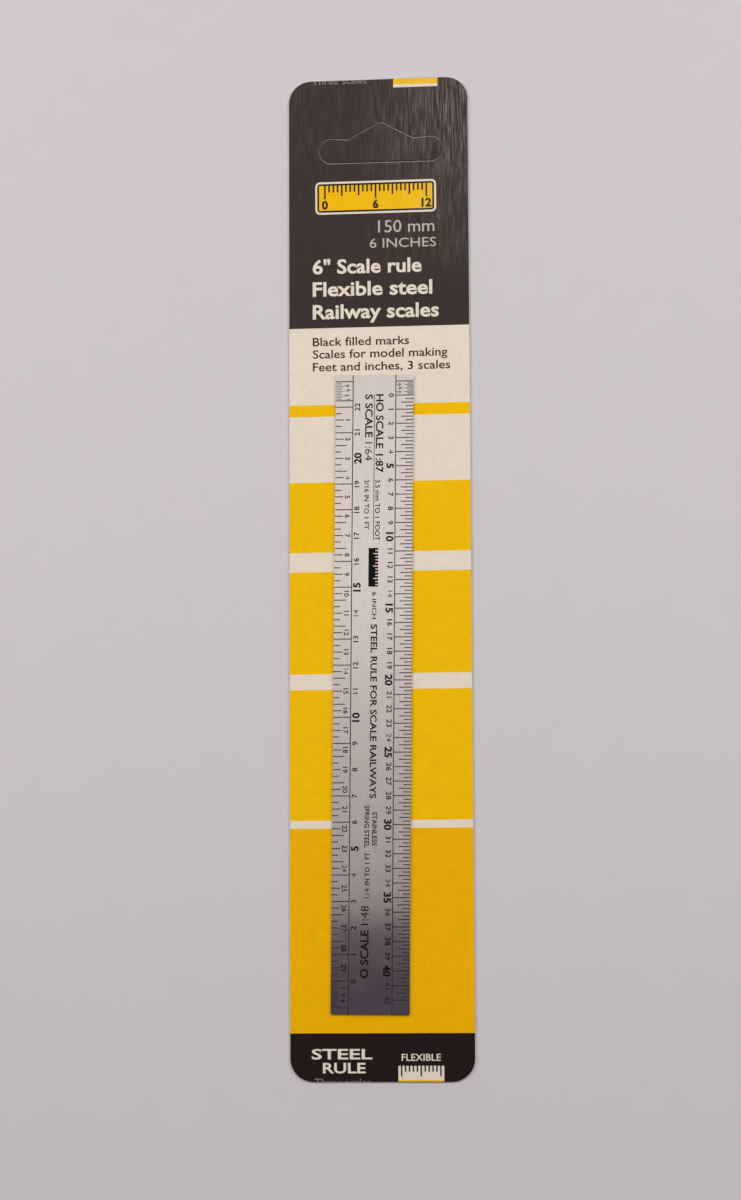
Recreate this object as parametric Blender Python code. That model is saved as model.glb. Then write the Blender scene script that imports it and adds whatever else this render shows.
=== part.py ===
"""Carded steel rule: a thin stainless modelling rule under clear skin film on a printed hang card.

Metres, +Z up. The card lies on its back with its middle at the origin. Its hang slot is towards +Y
and its printed face looks up. A length u along the rule runs down from the rule's upper end.
"""

import math

import bmesh
import bpy
from mathutils import Matrix, Vector

MM = 0.001
INCH = 25.4 * MM

# The card.
CARD_WIDTH = 1.75 * INCH
CARD_LENGTH = 246 * MM
CARD_THICKNESS = 0.5 * MM
CARD_CORNER_RADIUS = 5.5 * MM

# The hang slot, a wide slot with round ends and a peak that finds the middle of a peg.
SLOT_WIDTH = 31 * MM
SLOT_END_HEIGHT = 7 * MM
SLOT_VALLEY_HEIGHT = 6.2 * MM
SLOT_VALLEY_SPACING = 16.4 * MM
SLOT_PEAK_HEIGHT = 10.6 * MM
SLOT_END_RADIUS = 3.2 * MM
SLOT_VALLEY_RADIUS = 1.2 * MM
SLOT_PEAK_RADIUS = 0.8 * MM
SLOT_TOP_MARGIN = 10.6 * MM
SLOT_OFFSET = 0.6 * MM
CUT_WIDTH = 0.3 * MM

# The film, drawn down over the rule.
FILM_THICKNESS = 0.1 * MM
POCKET_SIDE_GAP = 0.3 * MM
POCKET_RUN_PER_RISE = 2.0

# Stacked sheets lie this far apart.
SHEET_GAP = 0.1 * MM

# The rule and its place on the card.
RULE_LENGTH = 6.125 * INCH
RULE_WIDTH = 0.75 * INCH
RULE_THICKNESS = INCH / 64
RULE_CORNER_RADIUS = 0.4 * MM
RULE_FOOT_MARGIN = 15.9 * MM
RULE_OFFSET = -2.0 * MM
RULE_LEAN = math.radians(-0.67)

# The etched marks. Each scale gives the length that stands for one foot.
ETCH_DEPTH = 0.05 * MM
LINE_ETCH_DEPTH = 0.06 * MM
TICK_WIDTH = 0.24 * MM
FINE_TICK_WIDTH = 0.13 * MM
LINE_WIDTH = 0.24 * MM
LINE_INSET = 4.26 * MM
TICK_OVERRUN = 0.2 * MM
END_MARGIN = INCH / 16
FOOT_1_87 = 3.5 * MM
FOOT_1_64 = INCH * 3 / 16
FOOT_1_48 = INCH / 4
QUARTERS_PER_FOOT = 4
INCHES_PER_FOOT = 12
QUARTER_TICK = 1.83 * MM
HALF_TICK = 2.95 * MM
SHORT_TICK = 1.5 * MM
SHARED_TICK = 2.06 * MM
MIDDLE_TICK = 2.85 * MM
INCH_TICK = 1.5 * MM
LONG_INCH_TICK = 2.2 * MM
CLEAR_OF_ZERO = 0.2  # the last tick stops this share of a division short of the next scale's zero

# Meshes.
CORNER_STEPS = 8
SLOT_STEPS = 6
FINE_STEPS = 3
WELD_DISTANCE = 0.001 * MM
EMPTY_SIZE = 5 * MM

# Places worked out from the sizes above.
CARD_TOP = CARD_THICKNESS
SHEET_BASE = CARD_TOP + SHEET_GAP
RULE_TOP = SHEET_BASE + RULE_THICKNESS
SLOT_BASE_Y = CARD_LENGTH / 2 - SLOT_TOP_MARGIN - SLOT_PEAK_HEIGHT
RULE_CENTRE_Y = -CARD_LENGTH / 2 + RULE_FOOT_MARGIN + RULE_LENGTH / 2


def clear_scene():
    """Removes every object that the scene starts with."""
    for obj in list(bpy.data.objects):
        bpy.data.objects.remove(obj, do_unlink=True)


def new_collection(name):
    """Makes a collection under the scene's own."""
    collection = bpy.data.collections.new(name)
    bpy.context.scene.collection.children.link(collection)
    return collection


def principled(name, colour, roughness, metallic=0.0, alpha=1.0):
    """Makes a plain material from a linear colour."""
    material = bpy.data.materials.new(name)
    material.use_nodes = True
    shader = material.node_tree.nodes["Principled BSDF"]
    shader.inputs["Base Color"].default_value = (*colour, 1.0)
    shader.inputs["Roughness"].default_value = roughness
    shader.inputs["Metallic"].default_value = metallic
    shader.inputs["Alpha"].default_value = alpha
    return material


def hinge_empty(name, location):
    """Makes the empty that stands on a hinge's axis."""
    empty = bpy.data.objects.new(name, None)
    empty.location = location
    empty.empty_display_size = EMPTY_SIZE
    parts.objects.link(empty)
    return empty


def place(obj, collection, location, lean=0.0, parent=None):
    """Puts an object at a world place, turned about Z, and under its hinge if it has one."""
    obj.location = Vector(location) - (parent.location if parent else Vector())
    obj.rotation_euler.z = lean
    obj.parent = parent
    collection.objects.link(obj)


def rounded_outline(corners, steps):
    """Points along a closed outline of (x, y, radius) corners, each rounded by an arc."""
    points = []
    for i, (x, y, radius) in enumerate(corners):
        here = Vector((x, y))
        back = (Vector(corners[i - 1][:2]) - here).normalized()
        ahead = (Vector(corners[(i + 1) % len(corners)][:2]) - here).normalized()
        half_angle = back.angle(ahead) / 2
        centre = here + (back + ahead).normalized() * radius / math.sin(half_angle)
        start = here + back * radius / math.tan(half_angle) - centre
        end = here + ahead * radius / math.tan(half_angle) - centre
        sweep = math.atan2(start.x * end.y - start.y * end.x, start.dot(end))
        for step in range(steps + 1):
            points.append(centre + Matrix.Rotation(sweep * step / steps, 2) @ start)
    return points


def inset_corners(corners, distance):
    """Moves every side of an anticlockwise outline inwards and keeps its arcs concentric."""
    moved = []
    for i, (x, y, radius) in enumerate(corners):
        here = Vector((x, y))
        before = (here - Vector(corners[i - 1][:2])).normalized()
        after = (Vector(corners[(i + 1) % len(corners)][:2]) - here).normalized()
        turn = before.x * after.y - before.y * after.x
        normals = Vector((-before.y, before.x)) + Vector((-after.y, after.x))
        place_now = here + normals * distance / (1 + before.dot(after))
        moved.append((place_now.x, place_now.y, radius - math.copysign(distance, turn)))
    return moved


def rectangle_corners(width, length, radius):
    """The four corners of a rectangle about the origin, anticlockwise."""
    x, y = width / 2, length / 2
    return [(-x, -y, radius), (x, -y, radius), (x, y, radius), (-x, y, radius)]


def slot_corners():
    """The hang slot's corners about the middle of its lower edge, anticlockwise."""
    end_x = SLOT_WIDTH / 2
    valley_x = SLOT_VALLEY_SPACING / 2
    return [
        (-end_x, 0, SLOT_END_RADIUS),
        (end_x, 0, SLOT_END_RADIUS),
        (end_x, SLOT_END_HEIGHT, SLOT_END_RADIUS),
        (valley_x, SLOT_VALLEY_HEIGHT, SLOT_VALLEY_RADIUS),
        (0, SLOT_PEAK_HEIGHT, SLOT_PEAK_RADIUS),
        (-valley_x, SLOT_VALLEY_HEIGHT, SLOT_VALLEY_RADIUS),
        (-end_x, SLOT_END_HEIGHT, SLOT_END_RADIUS),
    ]


def sheet_curve(name, outlines, thickness):
    """Makes a flat sheet from closed outlines, centred on its own thickness."""
    curve = bpy.data.curves.new(name, "CURVE")
    curve.dimensions = "2D"
    curve.fill_mode = "BOTH"
    curve.extrude = thickness / 2
    for outline in outlines:
        spline = curve.splines.new("POLY")
        spline.points.add(len(outline) - 1)
        for point, at in zip(spline.points, outline):
            point.co = (at.x, at.y, 0, 1)
        spline.use_cyclic_u = True
    return bpy.data.objects.new(name, curve)


def as_mesh(obj):
    """Turns a placed curve object into a welded mesh object of the same name and place."""
    name = obj.name
    bpy.context.view_layer.update()
    evaluated = obj.evaluated_get(bpy.context.evaluated_depsgraph_get())
    mesh = bpy.data.meshes.new_from_object(evaluated)
    shape = bmesh.new()
    shape.from_mesh(mesh)
    bmesh.ops.remove_doubles(shape, verts=shape.verts, dist=WELD_DISTANCE)
    bmesh.ops.recalc_face_normals(shape, faces=shape.faces)
    shape.to_mesh(mesh)
    shape.free()
    solid = bpy.data.objects.new(name + "_mesh", mesh)
    solid.parent = obj.parent
    solid.matrix_world = obj.matrix_world.copy()
    obj.users_collection[0].objects.link(solid)
    bpy.data.objects.remove(obj, do_unlink=True)
    solid.name = name
    return solid


def cutter(name, shape, location, lean):
    """Makes a Boolean helper from a bmesh. It is drawn as wires and never rendered."""
    mesh = bpy.data.meshes.new(name)
    shape.to_mesh(mesh)
    shape.free()
    obj = bpy.data.objects.new(name, mesh)
    place(obj, cutters, location, lean)
    obj.hide_render = True
    obj.display_type = "WIRE"
    return obj


def boolean(obj, other, operation):
    """Adds a Boolean modifier with the exact solver."""
    modifier = obj.modifiers.new(other.name, "BOOLEAN")
    modifier.operation = operation
    modifier.solver = "EXACT"
    modifier.object = other


def dress(obj, material):
    """Gives an object its one material."""
    obj.data.materials.append(material)


def make_backing_card():
    """The printed board, with the hang slot cut through it."""
    outer = rounded_outline(
        rectangle_corners(CARD_WIDTH, CARD_LENGTH, CARD_CORNER_RADIUS), CORNER_STEPS
    )
    offset = Vector((SLOT_OFFSET, SLOT_BASE_Y))
    slot = [point + offset for point in rounded_outline(slot_corners(), SLOT_STEPS)]
    card = sheet_curve("backing_card", [outer, slot], CARD_THICKNESS)
    place(card, parts, (0, 0, CARD_THICKNESS / 2))
    dress(card, principled("printed_board", (0.78, 0.46, 0.0), 0.55))


def make_hang_tab():
    """The board and the film facing inside the slot's cut line, on a fold at its lower edge."""
    corners = inset_corners(slot_corners(), CUT_WIDTH)
    outline = rounded_outline(corners, SLOT_STEPS)
    fold_y = SLOT_BASE_Y + CUT_WIDTH
    fold = hinge_empty("tab_fold_axis", (SLOT_OFFSET, fold_y, CARD_TOP))
    board = sheet_curve("hang_tab", [outline], CARD_THICKNESS)
    place(board, parts, (SLOT_OFFSET, SLOT_BASE_Y, CARD_THICKNESS / 2), parent=fold)
    dress(board, principled("black_printed_board", (0.047, 0.037, 0.033), 0.55))
    facing = sheet_curve("hang_tab_film", [outline], FILM_THICKNESS)
    facing_z = SHEET_BASE + FILM_THICKNESS / 2
    place(facing, parts, (SLOT_OFFSET, SLOT_BASE_Y, facing_z), parent=fold)
    dress(facing, principled("tab_skin_film", (0.9, 0.9, 0.9), 0.1, alpha=0.2))


def tick_box(shape, side, u, length, width, depth):
    """Adds the box that cuts one tick. side is -1 for the left edge and 1 for the right."""
    reach = length + TICK_OVERRUN
    middle_x = side * (RULE_WIDTH / 2 + TICK_OVERRUN - reach / 2)
    size = Matrix.Diagonal((reach, width, 2 * depth, 1))
    where = Matrix.Translation((middle_x, RULE_LENGTH / 2 - u, RULE_THICKNESS / 2))
    bmesh.ops.create_cube(shape, size=1, matrix=where @ size)


def inch_ticks(shape, side, start, end):
    """Adds a block of twelve inch divisions between two places. Every third one is longer."""
    for inch in range(1, INCHES_PER_FOOT):
        u = start + (end - start) * inch / INCHES_PER_FOOT
        length = LONG_INCH_TICK if inch % 3 == 0 else INCH_TICK
        tick_box(shape, side, u, length, FINE_TICK_WIDTH, ETCH_DEPTH)


def right_edge_ticks(shape):
    """Adds the 1:87 scale: a block of inches, then feet, half feet and quarter feet."""
    zero = END_MARGIN + FOOT_1_87
    feet = math.floor((RULE_LENGTH - END_MARGIN - zero) / FOOT_1_87)
    tick_box(shape, 1, END_MARGIN, LINE_INSET, TICK_WIDTH, ETCH_DEPTH)
    inch_ticks(shape, 1, END_MARGIN, zero)
    for quarter in range(feet * QUARTERS_PER_FOOT + 1):
        length = (LINE_INSET, QUARTER_TICK, HALF_TICK, QUARTER_TICK)[quarter % 4]
        u = zero + quarter * FOOT_1_87 / QUARTERS_PER_FOOT
        tick_box(shape, 1, u, length, TICK_WIDTH, ETCH_DEPTH)


def left_edge_ticks(shape):
    """Adds the 1:64 scale, which runs down, and the 1:48 scale, which runs up, as one set of ticks."""
    zero_64 = END_MARGIN + FOOT_1_64
    block_end = RULE_LENGTH - END_MARGIN
    zero_48 = block_end - FOOT_1_48
    quarter = FOOT_1_48 / QUARTERS_PER_FOOT
    lengths = {}
    for i in range(math.ceil((zero_48 - zero_64) / quarter - CLEAR_OF_ZERO)):
        lengths[zero_48 - i * quarter] = (LINE_INSET, SHORT_TICK, MIDDLE_TICK, SHORT_TICK)[i % 4]
    for foot in range(1, math.floor((zero_48 - zero_64) / FOOT_1_64) + 1):
        u = zero_64 + foot * FOOT_1_64
        nearest = min(lengths, key=lambda other: abs(other - u))
        shared = abs(nearest - u) < 2 * TICK_WIDTH
        lengths[nearest if shared else u] = SHARED_TICK
    for u in (END_MARGIN, zero_64, block_end):
        lengths[u] = LINE_INSET
    for u, length in lengths.items():
        tick_box(shape, -1, u, length, TICK_WIDTH, ETCH_DEPTH)
    inch_ticks(shape, -1, END_MARGIN, zero_64)
    inch_ticks(shape, -1, zero_48, block_end)


def long_lines(shape):
    """Adds the two lines that close off the ticks along the whole rule."""
    for side in (-1, 1):
        size = Matrix.Diagonal((LINE_WIDTH, RULE_LENGTH + TICK_OVERRUN, 2 * LINE_ETCH_DEPTH, 1))
        middle = (side * (RULE_WIDTH / 2 - LINE_INSET), 0, RULE_THICKNESS / 2)
        bmesh.ops.create_cube(shape, size=1, matrix=Matrix.Translation(middle) @ size)


def make_steel_rule():
    """The stainless strip with its etched ticks and lines."""
    outline = rounded_outline(
        rectangle_corners(RULE_WIDTH, RULE_LENGTH, RULE_CORNER_RADIUS), FINE_STEPS
    )
    centre = (RULE_OFFSET, RULE_CENTRE_Y, SHEET_BASE + RULE_THICKNESS / 2)
    strip = sheet_curve("steel_rule", [outline], RULE_THICKNESS)
    place(strip, parts, centre, RULE_LEAN)
    strip = as_mesh(strip)
    ticks = bmesh.new()
    right_edge_ticks(ticks)
    left_edge_ticks(ticks)
    boolean(strip, cutter("tick_cutter", ticks, centre, RULE_LEAN), "DIFFERENCE")
    lines = bmesh.new()
    long_lines(lines)
    boolean(strip, cutter("line_cutter", lines, centre, RULE_LEAN), "DIFFERENCE")
    dress(strip, principled("stainless_steel", (0.62, 0.58, 0.55), 0.3, metallic=1.0))


def tapered_box(base_z, top_z):
    """A box over the rule whose sides slope out towards its base, about the rule's middle."""
    shape = bmesh.new()
    top_width = RULE_WIDTH + 2 * POCKET_SIDE_GAP
    top_length = RULE_LENGTH + 2 * POCKET_SIDE_GAP
    spread = 2 * POCKET_RUN_PER_RISE * (top_z - base_z)
    size = Matrix.Diagonal((top_width, top_length, top_z - base_z, 1))
    where = Matrix.Translation((0, 0, (base_z + top_z) / 2))
    made = bmesh.ops.create_cube(shape, size=1, matrix=where @ size)
    low = [vert for vert in made["verts"] if vert.co.z < (base_z + top_z) / 2]
    widen = (1 + spread / top_width, 1 + spread / top_length, 1)
    bmesh.ops.scale(shape, vec=widen, verts=low)
    return shape


def make_skin_film():
    """The clear film: flat on the card, with a raised pocket over the rule and the slot's hole."""
    peel = hinge_empty("film_peel_axis", (0, -CARD_LENGTH / 2, SHEET_BASE))
    outer = rounded_outline(
        rectangle_corners(CARD_WIDTH, CARD_LENGTH, CARD_CORNER_RADIUS), CORNER_STEPS
    )
    offset = Vector((SLOT_OFFSET, SLOT_BASE_Y))
    slot = [point + offset for point in rounded_outline(slot_corners(), SLOT_STEPS)]
    film = sheet_curve("skin_film", [outer, slot], FILM_THICKNESS)
    place(film, parts, (0, 0, SHEET_BASE + FILM_THICKNESS / 2), parent=peel)
    film = as_mesh(film)
    middle = (RULE_OFFSET, RULE_CENTRE_Y, 0)
    inside_top = RULE_TOP + SHEET_GAP
    overlap = FILM_THICKNESS / 2
    outside = tapered_box(SHEET_BASE + overlap, inside_top + FILM_THICKNESS)
    boolean(film, cutter("pocket_outside", outside, middle, RULE_LEAN), "UNION")
    inside = tapered_box(SHEET_BASE - overlap, inside_top)
    boolean(film, cutter("pocket_inside", inside, middle, RULE_LEAN), "DIFFERENCE")
    dress(film, principled("clear_skin_film", (0.9, 0.9, 0.9), 0.1, alpha=0.2))


clear_scene()
parts = new_collection("carded_steel_rule")
cutters = new_collection("cutters")
make_backing_card()
make_hang_tab()
make_steel_rule()
make_skin_film()
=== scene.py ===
"""Looks of a carded steel rule: a stainless scale rule under clear film on a printed hang card.

Metres, +Z up. The card lies on its back, its middle at the origin and its hang slot towards +Y.
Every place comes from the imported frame's own boxes and the print's and the rule's real sizes.
"""

import logging
import math
from dataclasses import dataclass, field
from enum import Enum

import bmesh
import bpy
import numpy as np
from mathutils import Euler, Matrix, Vector


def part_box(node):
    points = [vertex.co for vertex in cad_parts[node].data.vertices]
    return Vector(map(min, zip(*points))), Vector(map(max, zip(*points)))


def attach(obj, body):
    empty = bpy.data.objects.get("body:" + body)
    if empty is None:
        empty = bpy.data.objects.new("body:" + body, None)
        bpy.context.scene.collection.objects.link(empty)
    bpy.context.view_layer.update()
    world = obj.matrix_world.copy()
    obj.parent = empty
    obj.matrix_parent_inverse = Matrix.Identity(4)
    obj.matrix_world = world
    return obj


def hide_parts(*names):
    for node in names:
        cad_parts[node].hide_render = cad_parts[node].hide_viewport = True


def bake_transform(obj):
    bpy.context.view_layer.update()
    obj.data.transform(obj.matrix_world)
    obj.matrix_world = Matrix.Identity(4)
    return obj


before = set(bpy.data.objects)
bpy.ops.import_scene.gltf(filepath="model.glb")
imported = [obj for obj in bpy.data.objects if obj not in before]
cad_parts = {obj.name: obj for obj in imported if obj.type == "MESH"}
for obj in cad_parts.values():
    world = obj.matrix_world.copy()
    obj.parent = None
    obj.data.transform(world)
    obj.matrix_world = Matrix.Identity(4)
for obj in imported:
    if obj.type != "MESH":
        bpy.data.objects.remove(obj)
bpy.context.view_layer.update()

LOG = logging.getLogger("carded_rule")
MM = 0.001
INCH = 25.4 * MM

# The thin layers: the gap under an ink, its thickness, and the step to the next ink over it.
INK_LIFT = 0.004 * MM
INK_THICKNESS = 0.012 * MM
INK_STEP = 1.2 * INK_THICKNESS
WELD_DISTANCE = 0.0002 * MM

# The built-in lettering: the height of a capital for a size of one, and how finely it curves.
CAPITAL_SHARE = 0.682
LETTER_STEPS = 3
CORNER_STEPS = 5


class Ink(Enum):
    """The printed and filled colours, as sRGB hex values."""

    BLACK = "261c1b"
    # The header's black: the same black ink, painted lighter as a painted sheen of the film's
    # reflection of the bright box over the card's head.
    HEADER_BLACK = "3e3532"
    CREAM = "ede3d2"
    PALE_GREY = "c9bfb2"
    DIM_GREY = "8f877e"
    YELLOW = "f9c500"
    DEEP_YELLOW = "f7bb00"
    BROWN = "2f2722"
    FILL = "131010"


class Align(Enum):
    """Where a line of lettering starts from."""

    LEFT = "LEFT"
    RIGHT = "RIGHT"
    MIDDLE = "CENTER"


def linear(hex_colour: str) -> tuple[float, float, float, float]:
    """Turns an sRGB hex colour into linear light.

    Args:
        hex_colour: Six hexadecimal digits.

    Returns:
        Red, green, blue and an alpha of one.
    """
    values = [int(hex_colour[i : i + 2], 16) / 255 for i in (0, 2, 4)]
    curve = [v / 12.92 if v <= 0.04045 else ((v + 0.055) / 1.055) ** 2.4 for v in values]
    return (curve[0], curve[1], curve[2], 1.0)


def only(obj: bpy.types.Object) -> None:
    """Selects one object alone and makes it the active one."""
    bpy.ops.object.select_all(action="DESELECT")
    obj.select_set(True)
    bpy.context.view_layer.objects.active = obj


def settle(obj: bpy.types.Object) -> None:
    """Puts an object's place into its mesh, so that the object sits at the origin."""
    only(obj)
    bpy.ops.object.transform_apply(location=True, rotation=True, scale=True)


def apply_modifier(obj: bpy.types.Object, kind: str, **settings: object) -> None:
    """Adds a modifier with its settings and applies it.

    Args:
        obj: The mesh object.
        kind: The modifier's type.
        **settings: Its properties.
    """
    only(obj)
    modifier = obj.modifiers.new(kind.title(), kind)
    for name, value in settings.items():
        setattr(modifier, name, value)
    bpy.ops.object.modifier_apply(modifier=modifier.name)


def joined(pieces: list[bpy.types.Object], name: str) -> bpy.types.Object:
    """Joins mesh objects into one and names it.

    Args:
        pieces: The objects to join.
        name: The new piece's name.

    Returns:
        The joined object, at the origin.
    """
    bpy.ops.object.select_all(action="DESELECT")
    for piece in pieces:
        piece.select_set(True)
    bpy.context.view_layer.objects.active = pieces[0]
    if len(pieces) > 1:
        bpy.ops.object.join()
    obj = bpy.context.object
    settle(obj)
    obj.name = name
    obj.data.name = name
    return obj


def dress(node: str, material: bpy.types.Material) -> None:
    """Gives a CAD node its finish."""
    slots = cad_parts[node].data.materials
    slots.clear()
    slots.append(material)


class NodeTree:
    """Writes one material's nodes."""

    def __init__(self, name: str) -> None:
        """Makes a material with an empty tree and its output."""
        self.material = bpy.data.materials.new(name)
        self.material.use_nodes = True
        self.tree = self.material.node_tree
        self.tree.nodes.clear()
        self.output = self.tree.nodes.new("ShaderNodeOutputMaterial")

    def add(self, kind: str, links: dict | None = None, values: dict | None = None,
            **settings: object) -> bpy.types.Node:
        """Adds a node.

        Args:
            kind: The node's type after "ShaderNode".
            links: Output sockets for its inputs, by the input's name or number.
            values: Plain values for its inputs, by the input's name or number.
            **settings: The node's own properties.

        Returns:
            The new node.
        """
        node = self.tree.nodes.new("ShaderNode" + kind)
        for name, value in settings.items():
            setattr(node, name, value)
        for name, value in (values or {}).items():
            node.inputs[name].default_value = value
        for name, socket in (links or {}).items():
            self.tree.links.new(socket, node.inputs[name])
        return node

    def noise(self, place: bpy.types.NodeSocket, size: float, detail: float,
              **values: float) -> bpy.types.NodeSocket:
        """Adds a noise pattern.

        Args:
            place: Where it is read.
            size: How large its features are.
            detail: How many finer layers it has.
            **values: Its other inputs, by name.

        Returns:
            The pattern, around one half.
        """
        settings = {"Scale": 1 / size, "Detail": detail, **values}
        return self.add("TexNoise", {"Vector": place}, settings).outputs["Fac"]

    def maths(self, operation: str, *terms: bpy.types.NodeSocket | float,
              clamp: bool = False) -> bpy.types.NodeSocket:
        """Adds one step of arithmetic on sockets and plain numbers, in the order of its inputs."""
        links = {i: term for i, term in enumerate(terms)
                 if isinstance(term, bpy.types.NodeSocket)}
        values = {i: term for i, term in enumerate(terms) if i not in links}
        return self.add("Math", links, values, operation=operation, use_clamp=clamp).outputs[0]

    def ranged(self, value: bpy.types.NodeSocket, low: float, high: float,
               to_low: float = 0.0, to_high: float = 1.0) -> bpy.types.NodeSocket:
        """Stretches the values between low and high to another range, and holds them inside it."""
        limits = {"From Min": low, "From Max": high, "To Min": to_low, "To Max": to_high}
        return self.add("MapRange", {"Value": value}, limits).outputs[0]

    def toned(self, hex_colour: str, tone: bpy.types.NodeSocket) -> bpy.types.NodeSocket:
        """Adds a plain colour that is made lighter and darker by a tone."""
        base = self.add("RGB")
        base.outputs[0].default_value = linear(hex_colour)
        return self.add("VectorMath", {0: base.outputs[0], "Scale": tone},
                        operation="SCALE").outputs[0]

    def finish(self, shader: bpy.types.Node) -> bpy.types.Material:
        """Links the last shader to the output and returns the material."""
        self.tree.links.new(shader.outputs[0], self.output.inputs["Surface"])
        return self.material


@dataclass(frozen=True)
class PrintedBoard:
    """Clay-coated paperboard, offset printed in flat black, cream and yellow bands.

    The inks lie flat and a little matt, and fibre shows as a faint mottle. The board's cut edge is
    its pale core and its back is uncoated grey-white stock. The walls of the hang slot's cut are
    painted dark, as painted shade of the narrow cut.
    """

    name: str
    low: float
    high: float
    top: float
    bands: tuple[tuple[float, Ink], ...]
    slot_low: Vector
    slot_high: Vector
    core_hex: str = "cfc4b2"
    # Painted shade: the walls of the hang slot's cut are painted dark, where the narrow cut lies
    # in shade.
    slot_hex: str = "3a332e"
    back_hex: str = "c9c2b6"
    skin: float = 0.002 * MM
    slot_margin: float = 0.6 * MM
    edge_wander: float = 0.035 * MM
    wander_size: float = 0.6 * MM
    mottle_size: float = 1.6 * MM
    fibre_size: float = 0.25 * MM

    def material(self) -> bpy.types.Material:
        """Builds the material."""
        nt = NodeTree(self.name)
        place = nt.add("TexCoord").outputs["Object"]
        axes = nt.add("SeparateXYZ", {0: place})
        wander = nt.noise(place, self.wander_size, 2.0)
        shift = nt.maths("SUBTRACT", wander, 0.5)
        shift = nt.maths("MULTIPLY_ADD", shift, 2 * self.edge_wander, axes.outputs["Y"])
        ramp = nt.add("ValToRGB", {0: nt.ranged(shift, self.low, self.high)})
        ramp.color_ramp.interpolation = "CONSTANT"
        self._fill_ramp(ramp.color_ramp)
        mottle = nt.noise(place, self.mottle_size, 4.0, Roughness=0.6)
        tone = nt.ranged(mottle, 0.3, 0.7, 0.955, 1.03)
        print_colour = nt.add("VectorMath", {0: ramp.outputs[0], "Scale": tone},
                              operation="SCALE")
        is_top = nt.maths("GREATER_THAN", axes.outputs["Z"], self.top - self.skin)
        is_back = nt.maths("LESS_THAN", axes.outputs["Z"], self.skin)
        # Side faces: the pale core, with painted shade on the walls of the hang slot's cut.
        core_and_slot_shade = nt.add("MixRGB", {0: self._near_slot(nt, axes)},
                      {1: linear(self.core_hex), 2: linear(self.slot_hex)})
        stock = nt.add("MixRGB", {0: is_back, 1: core_and_slot_shade.outputs[0]}, {2: linear(self.back_hex)})
        colour = nt.add("MixRGB", {0: is_top, 1: stock.outputs[0], 2: print_colour.outputs[0]})
        fibre = nt.noise(place, self.fibre_size, 5.0)
        bump = nt.add("Bump", {"Height": fibre}, {"Strength": 0.25, "Distance": 0.01 * MM})
        shader = nt.add("BsdfPrincipled", {"Base Color": colour.outputs[0],
                                           "Normal": bump.outputs[0]},
                        {"Roughness": 0.62, "Specular IOR Level": 0.03})
        return nt.finish(shader)

    def _near_slot(self, nt: NodeTree, axes: bpy.types.Node) -> bpy.types.NodeSocket:
        """The painted shade's place: one within the hang slot's outline box, and zero elsewhere.
        """
        inside = None
        for axis, low, high in (("X", self.slot_low.x, self.slot_high.x),
                                ("Y", self.slot_low.y, self.slot_high.y)):
            middle, reach = (low + high) / 2, (high - low) / 2 + self.slot_margin
            near = nt.maths("COMPARE", axes.outputs[axis], middle, reach)
            inside = near if inside is None else nt.maths("MULTIPLY", inside, near)
        return inside

    def _fill_ramp(self, ramp: bpy.types.ColorRamp) -> None:
        """Writes one stop for each band, from the card's foot upwards."""
        while len(ramp.elements) > 1:
            ramp.elements.remove(ramp.elements[-1])
        for i, (start, ink) in enumerate(self.bands):
            at = max(0.0, (start - self.low) / (self.high - self.low))
            stop = ramp.elements[0] if i == 0 else ramp.elements.new(at)
            stop.position = at
            stop.color = linear(ink.value)


@dataclass(frozen=True)
class PrintInk:
    """Offset ink laid over the print, flat and slightly matt, with a faint mottle."""

    name: str
    ink: Ink
    mottle_size: float = 0.5 * MM

    def material(self) -> bpy.types.Material:
        """Builds the material."""
        nt = NodeTree(self.name)
        place = nt.add("TexCoord").outputs["Object"]
        mottle = nt.noise(place, self.mottle_size, 3.0)
        colour = nt.toned(self.ink.value, nt.ranged(mottle, 0.0, 1.0, 0.88, 1.08))
        shader = nt.add("BsdfPrincipled", {"Base Color": colour},
                        {"Roughness": 0.6, "Specular IOR Level": 0.03})
        return nt.finish(shader)


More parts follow.
